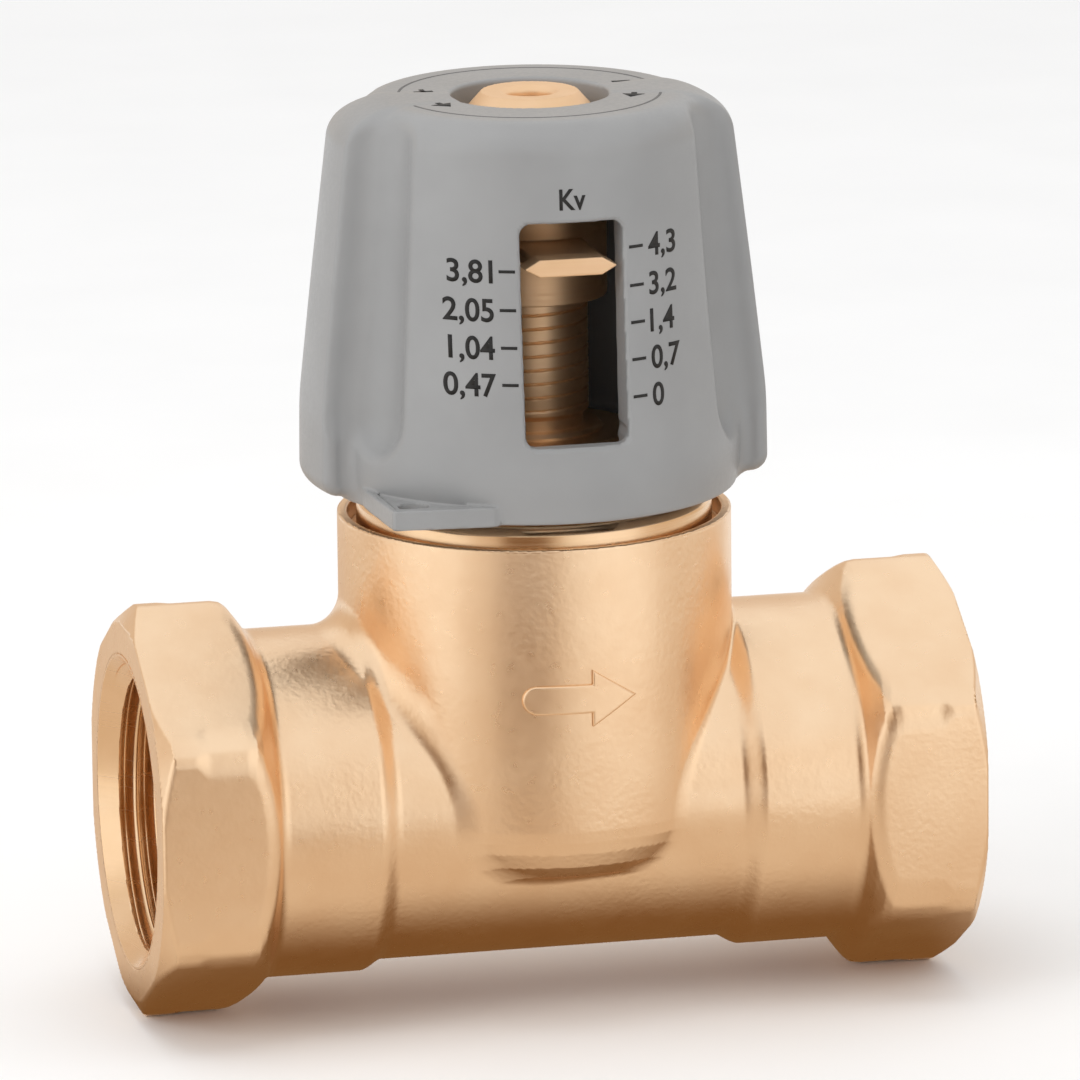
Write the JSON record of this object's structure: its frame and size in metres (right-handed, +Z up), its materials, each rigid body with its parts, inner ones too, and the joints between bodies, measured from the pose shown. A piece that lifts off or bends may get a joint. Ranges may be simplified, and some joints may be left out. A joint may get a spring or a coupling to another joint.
{
  "type": "static balancing valve",
  "caption": "Threaded brass balancing valve with a grey handwheel whose window shows a rising pointer against a flow scale, for setting the flow in a heating or cooling circuit.",
  "frame": {"origin": "middle of the bounding box at the height of the lowest hexagon corners, so the stem axis runs through it; the pipe axis lies 18.85 mm above it", "axes": "+X in the direction of flow, +Z up the stem axis, -Y towards the side with the flow arrow and the knob's window"},
  "size_m": [0.075, 0.037, 0.0822],
  "materials": {
    "forged_brass": "hot-forged and shot-blasted, machined at ports and rim",
    "turned_brass": "turned",
    "grey_plastic": "moulded, satin",
    "black_rubber": "moulded",
    "white_plastic": "turned, low friction",
    "spring_steel": "hardened"
  },
  "bodies": {
    "valve": {"valve_body": "forged_brass", "bonnet": "turned_brass", "bonnet_o_ring": "black_rubber", "stem_guide_bush": "white_plastic", "stem_o_ring_upper": "black_rubber", "stem_spacer_ring": "turned_brass", "stem_o_ring_lower": "black_rubber", "gland_washer": "turned_brass", "gland_circlip": "spring_steel", "knob_thrust_washer": "white_plastic", "knob_friction_o_ring": "black_rubber"},
    "handwheel": {"knob": "grey_plastic", "knob_snap_ring": "spring_steel"},
    "spindle": {"indicator_nut": "turned_brass", "stem": "turned_brass", "plug": "turned_brass", "seat_seal": "black_rubber", "throttle_cone": "turned_brass", "plug_lock_washer": "spring_steel", "plug_nut": "turned_brass"}
  },
  "joints": [
    {"name": "knob_turn", "type": "hinge", "parent": "valve", "child": "handwheel", "pos_m": [0, 0, 0.04885], "axis": [0, 0, 1], "range_deg": [-3341, 490]},
    {"name": "stem_rise", "type": "slide", "parent": "handwheel", "child": "spindle", "axis": [0, 0, 1], "range_m": [-0.0116, 0.0017]}
  ],
  "couplings": [
    {"joint": "knob_turn", "follows": "stem_rise", "rad_per_m": 5026.5}
  ]
}
